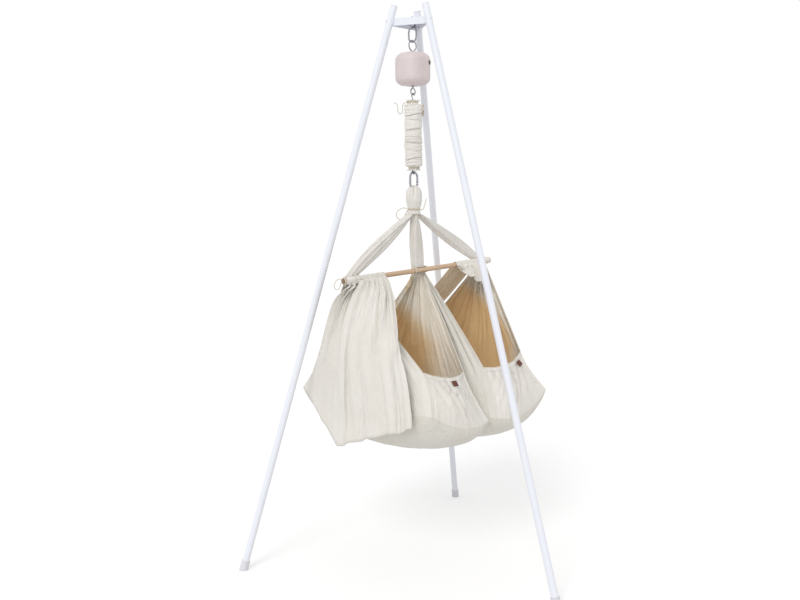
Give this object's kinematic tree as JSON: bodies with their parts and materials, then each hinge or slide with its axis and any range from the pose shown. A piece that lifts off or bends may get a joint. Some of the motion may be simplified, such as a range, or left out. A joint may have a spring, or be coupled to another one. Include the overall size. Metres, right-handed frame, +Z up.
{
  "type": "double baby hammock",
  "caption": "Hanging double baby hammock of plain cotton with two pouches on a wooden spreader rod, spring-hung from a rocking motor on a tubular steel tripod",
  "frame": {"origin": "centre of the bounding box on the floor, under the hammock's far half", "axes": "+Z up; X along the spreader rod, the rod's higher end at +X; Y along the babies, the single front leg at -Y"},
  "size_m": [1.152, 1.0017, 2.0031],
  "materials": {
    "white_steel": "satin",
    "bright_steel": "satin",
    "housing": "matte",
    "dark_plastic": "matte",
    "grey_plastic": "matte",
    "rubber": "matte",
    "brass": "satin",
    "cotton": "matte",
    "cord": "matte",
    "mattress_cloth": "matte",
    "wood": "satin",
    "leather": "matte"
  },
  "bodies": {
    "stand": {"leg_left": "white_steel", "leg_front": "white_steel", "leg_back": "white_steel", "leg_cap_left": "white_steel", "leg_cap_front": "white_steel", "leg_cap_back": "white_steel", "foot_left": "rubber", "foot_front": "rubber", "foot_back": "rubber", "top_bracket": "white_steel", "leg_bolt_left": "white_steel", "leg_bolt_front": "white_steel", "leg_bolt_back": "white_steel", "eye_bolt": "bright_steel", "eye_bolt_nut": "bright_steel"},
    "top_link": {"top_link": "bright_steel"},
    "top_gate": {"top_link_gate": "bright_steel"},
    "motor": {"motor_shell_front": "housing", "motor_shell_rear": "housing", "motor_hanger": "bright_steel", "motor_eye": "bright_steel", "motor_eye_nut": "bright_steel", "gear_motor": "grey_plastic", "guide_bush": "brass", "power_socket": "dark_plastic"},
    "button": {"power_button": "dark_plastic"},
    "pinion": {"drive_pinion": "brass"},
    "output": {"output_rack": "bright_steel", "output_eye": "bright_steel"},
    "spring_unit": {"spring": "bright_steel", "spring_sleeve": "cotton", "sleeve_tie_top": "cord", "sleeve_bow": "cord"},
    "hammock": {"sleeve_tie_bottom": "cord", "lower_link": "bright_steel", "hammock_neck": "cotton", "neck_tie": "cord", "bunch_left": "cotton", "bunch_centre": "cotton", "bunch_right": "cotton", "spreader_rod": "wood", "rod_tie_left": "cord", "rod_tie_centre": "cord", "rod_tie_right": "cord", "pouch_left": "cotton", "pouch_right": "cotton", "mattress_left": "mattress_cloth", "mattress_right": "mattress_cloth", "leather_tag_left": "leather", "leather_tag_right": "leather", "drape_left": "cotton", "drape_right": "cotton", "neck_bow_left": "cord", "neck_bow_right": "cord", "rod_bow": "cord"},
    "lower_gate": {"lower_link_gate": "bright_steel"}
  },
  "joints": [
    {"name": "link_swing", "type": "hinge", "parent": "stand", "child": "top_link", "pos_m": [0, 0.16175, 1.9237], "axis": [1, 0, 0], "range_deg": [-2.5, 1]},
    {"name": "top_gate_hinge", "type": "hinge", "parent": "top_link", "child": "top_gate", "pos_m": [0, 0.18075, 1.9], "axis": [1, 0, 0], "range_deg": [0, 20], "stiffness_Nm_per_rad": 0.01, "springref_deg": -17.19},
    {"name": "motor_swing", "type": "hinge", "parent": "top_link", "child": "motor", "pos_m": [0, 0.16175, 1.877], "axis": [0, 1, 0], "range_deg": [-1.2, 1.6]},
    {"name": "button_press", "type": "slide", "parent": "motor", "child": "button", "axis": [-0.4031, 0.9151, 0], "range_m": [0, 0.0012], "stiffness_N_per_m": 400, "springref_m": -0.001},
    {"name": "motor_stroke", "type": "slide", "parent": "motor", "child": "output", "axis": [0, 0, 1], "range_m": [-0.025, 0]},
    {"name": "pinion_spin", "type": "hinge", "parent": "motor", "child": "pinion", "pos_m": [0.015, 0.16175, 1.783], "axis": [0, 1, 0], "range_deg": [-137, 1]},
    {"name": "hammock_twist", "type": "hinge", "parent": "output", "child": "spring_unit", "pos_m": [0, 0.16175, 1.6988], "axis": [0, 0, 1], "range_deg": [-8, 8]},
    {"name": "hammock_bounce", "type": "slide", "parent": "spring_unit", "child": "hammock", "axis": [0, 0, 1], "range_m": [-0.05, 0.03], "stiffness_N_per_m": 600, "springref_m": 0.0702, "deforming": ["spring", "spring_sleeve"]},
    {"name": "lower_gate_hinge", "type": "hinge", "parent": "hammock", "child": "lower_gate", "pos_m": [0.018, 0.16175, 1.384], "axis": [0, 1, 0], "range_deg": [-20, 0], "stiffness_Nm_per_rad": 0.02, "springref_deg": 17.19}
  ],
  "couplings": [
    {"joint": "pinion_spin", "follows": "motor_stroke", "rad_per_m": 95.238}
  ]
}
